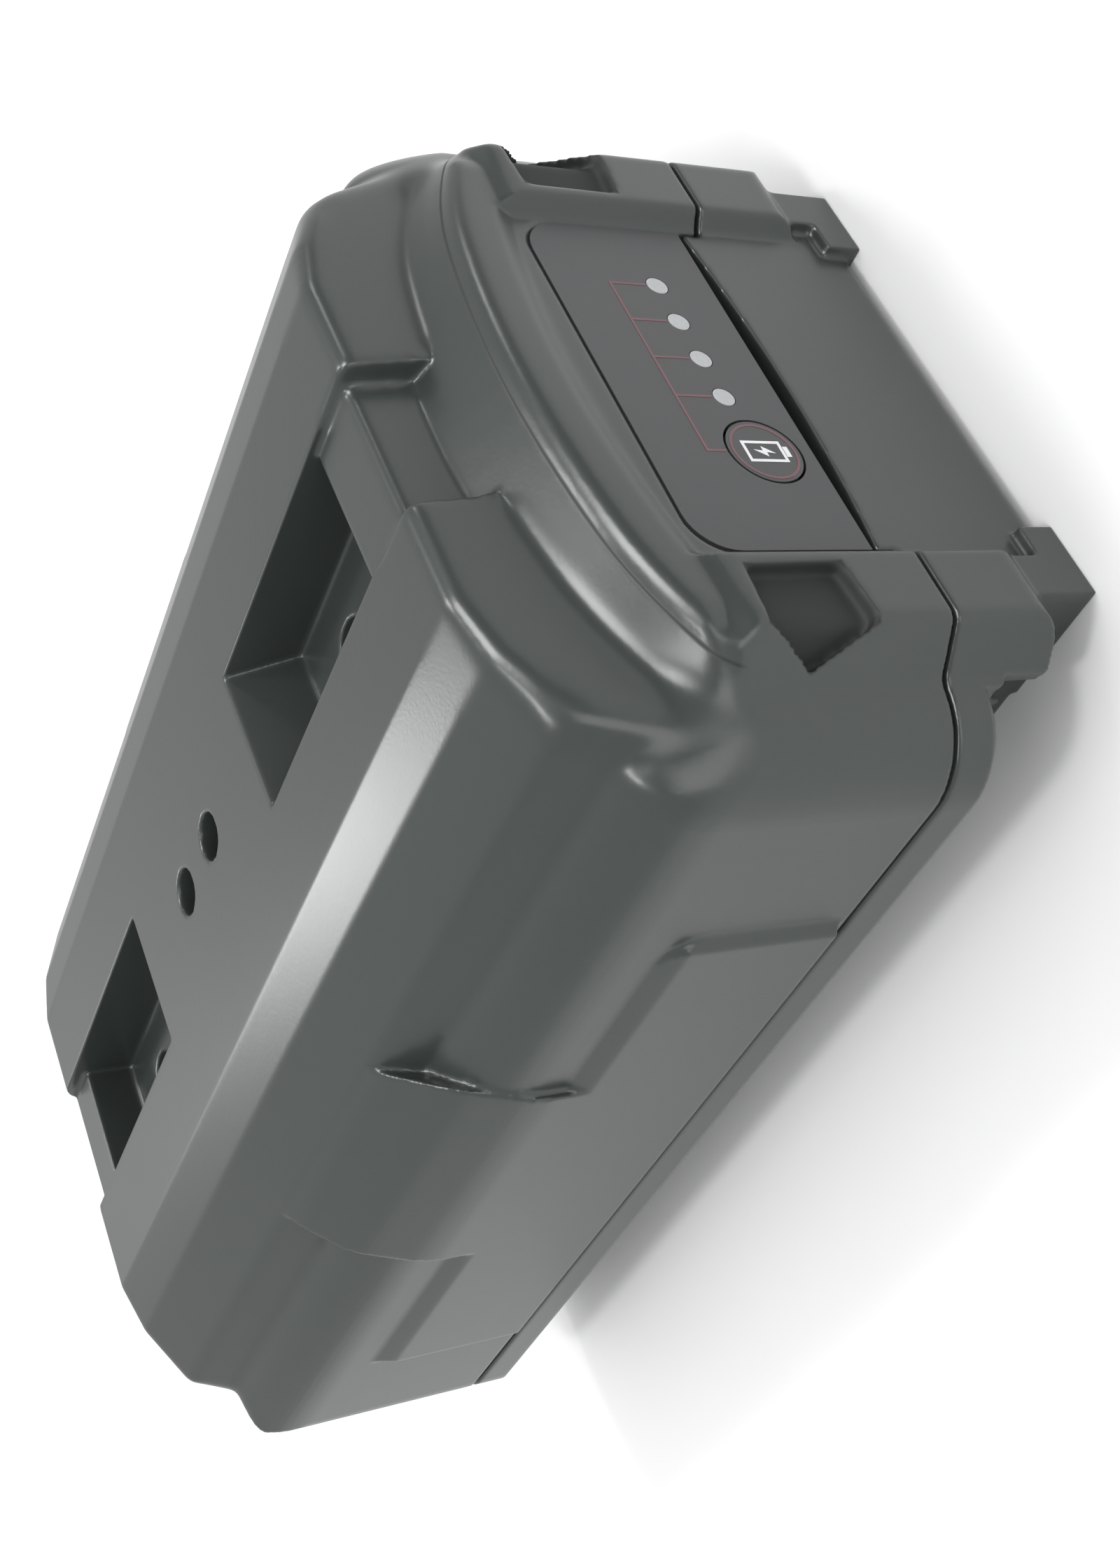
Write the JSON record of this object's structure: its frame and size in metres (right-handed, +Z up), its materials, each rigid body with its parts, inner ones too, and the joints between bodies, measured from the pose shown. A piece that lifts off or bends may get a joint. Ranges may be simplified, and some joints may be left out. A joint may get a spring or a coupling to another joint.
{
  "type": "power tool battery pack",
  "caption": "Slide-on lithium-ion battery pack for a power tool, belly up, with latch pockets, slide rails and a push-button charge gauge on one end.",
  "frame": {"origin": "centre of the pack's box in plan, at the feet of the slide rails", "axes": "+X across the pack, +Y from the gauge end to the back wall, +Z up from the rail feet to the belly"},
  "size_m": [0.1004, 0.16, 0.07],
  "materials": {
    "housing": "satin dark grey with a fine moulded grain",
    "label": "smooth dark grey printed film",
    "window": "milky clear",
    "frame": "plain black moulded plastic",
    "steel": "zinc plated",
    "board": "green solder mask",
    "nickel": "plain nickel strip",
    "contact": "tinned copper alloy",
    "insulation": "pale insulating sheet",
    "foam": "closed cell foam",
    "ceramic": "off-white",
    "cell_sleeve": "shrink sleeve"
  },
  "bodies": {
    "pack": {"belly_shell": "housing", "rail_cover": "housing", "gauge_label": "label", "led_windows": "window", "cradle_screws": "steel", "gauge_board": "board", "gauge_leds": "window", "tact_switch": "frame", "gauge_board_screws": "steel", "gauge_ribbon": "insulation", "upper_cradle_front": "frame", "upper_cradle_rear": "frame", "lower_cradle_front": "frame", "lower_cradle_rear": "frame", "link_strips_front": "nickel", "link_strips_mid_front": "nickel", "link_strips_mid_rear": "nickel", "link_strips_rear": "nickel", "front_insulator": "insulation", "mid_insulator": "insulation", "rear_insulator": "insulation", "rear_foam_pad": "foam", "control_board": "board", "power_transistors": "frame", "control_chip": "frame", "main_fuse": "ceramic", "board_screws": "steel", "terminal_block": "frame", "power_contacts": "contact", "signal_contacts": "contact", "positive_lead": "contact", "negative_lead": "contact", "housing_screws": "steel", "cell_01": "cell_sleeve", "cell_02": "cell_sleeve", "cell_03": "cell_sleeve", "cell_04": "cell_sleeve", "cell_05": "cell_sleeve", "cell_06": "cell_sleeve", "cell_07": "cell_sleeve", "cell_08": "cell_sleeve", "cell_09": "cell_sleeve", "cell_10": "cell_sleeve", "cell_11": "cell_sleeve", "cell_12": "cell_sleeve", "cell_13": "cell_sleeve", "cell_14": "cell_sleeve", "cell_15": "cell_sleeve", "cell_16": "cell_sleeve", "cell_17": "cell_sleeve", "cell_18": "cell_sleeve", "cell_19": "cell_sleeve", "cell_20": "cell_sleeve"},
    "button": {"gauge_button": "label", "switch_plunger": "frame"}
  },
  "joints": [
    {"name": "button_press", "type": "slide", "parent": "pack", "child": "button", "axis": [0, 1, 0], "range_m": [0, 0.0006], "stiffness_N_per_m": 2000, "springref_m": -0.0005}
  ]
}
